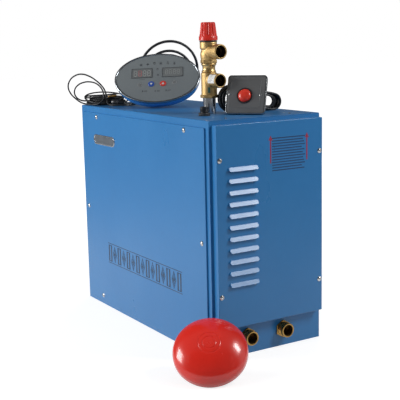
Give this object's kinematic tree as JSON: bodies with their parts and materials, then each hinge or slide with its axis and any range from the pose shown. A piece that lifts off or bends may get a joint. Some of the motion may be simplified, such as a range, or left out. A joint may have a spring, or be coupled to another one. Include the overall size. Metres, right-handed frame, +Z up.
{
  "type": "steam shower generator",
  "caption": "Steam shower generator: blue sheet-metal housing with louvred end cover, brass relief-valve train, water ports, wired control panel and push switch, and a steam head.",
  "frame": {"origin": "centre of the housing's base, on the surface it stands on", "axes": "+X towards the louvred end with the two water ports, -Y towards the long side with the blank badge, +Z up"},
  "size_m": [0.774, 0.4115, 0.6948],
  "materials": {
    "blue_paint": "gloss powder paint, blue",
    "zinc_screw": "bright plated",
    "chrome_badge": "polished",
    "port_brass": "machined brass",
    "valve_brass": "cast and machined brass",
    "pipe_chrome": "polished",
    "cap_red": "gloss moulded, red",
    "black_plastic": "satin moulded, black",
    "tag_paper": "plain white",
    "panel_blue": "gloss moulded, blue",
    "rim_dark": "dark chrome",
    "panel_grey": "satin membrane, grey",
    "window_grey": "clear grey window",
    "key_blue": "printed key, blue and red",
    "cable_black": "satin, black",
    "tip_brass": "machined brass",
    "switch_silver": "satin silver",
    "switch_grey": "fine textured, dark grey",
    "button_red": "gloss moulded, red",
    "head_red": "gloss moulded, red"
  },
  "bodies": {
    "root": {"body_wrap": "blue_paint", "floor_pan": "blue_paint", "port_end_wall": "blue_paint", "rear_end_wall": "blue_paint", "side_panel": "blue_paint", "back_panel": "blue_paint", "louvre_cover": "blue_paint", "rear_cover": "blue_paint", "side_screws": "zinc_screw", "cover_screws": "zinc_screw", "badge": "chrome_badge", "inlet_port": "port_brass", "drain_port": "port_brass", "port_locknuts": "port_brass", "outlet_pipe": "pipe_chrome", "pipe_locknut": "port_brass", "valve_tee": "valve_brass", "valve_neck": "valve_brass", "relief_body": "valve_brass", "cap_ring": "black_plastic", "valve_tag": "tag_paper", "panel_socket": "black_plastic", "panel_shell": "panel_blue", "panel_rim": "rim_dark", "panel_face": "panel_grey", "panel_windows": "window_grey", "panel_buttons": "key_blue", "panel_glands": "black_plastic", "panel_cable": "cable_black", "panel_coil": "cable_black", "panel_plug": "black_plastic", "sensor_lead": "cable_black", "sensor_coil": "cable_black", "sensor_tip": "tip_brass", "switch_frame": "switch_silver", "switch_plate": "switch_grey", "switch_box": "black_plastic", "switch_collar": "black_plastic", "switch_lead": "cable_black", "switch_hank": "cable_black", "switch_plug": "black_plastic", "steam_head": "head_red", "steam_head_stem": "head_red"},
    "cap": {"relief_cap": "cap_red"},
    "button": {"switch_button": "button_red"}
  },
  "joints": [
    {"name": "relief_cap_turn", "type": "hinge", "parent": "root", "child": "cap", "pos_m": [0.145, -0.039, 0.6563], "axis": [0, 0, 1], "range_deg": [0, 90]},
    {"name": "switch_press", "type": "slide", "parent": "root", "child": "button", "axis": [-0.6039, 0.6947, -0.3907], "range_m": [0, 0.003], "stiffness_N_per_m": 600, "springref_m": -0.001}
  ]
}
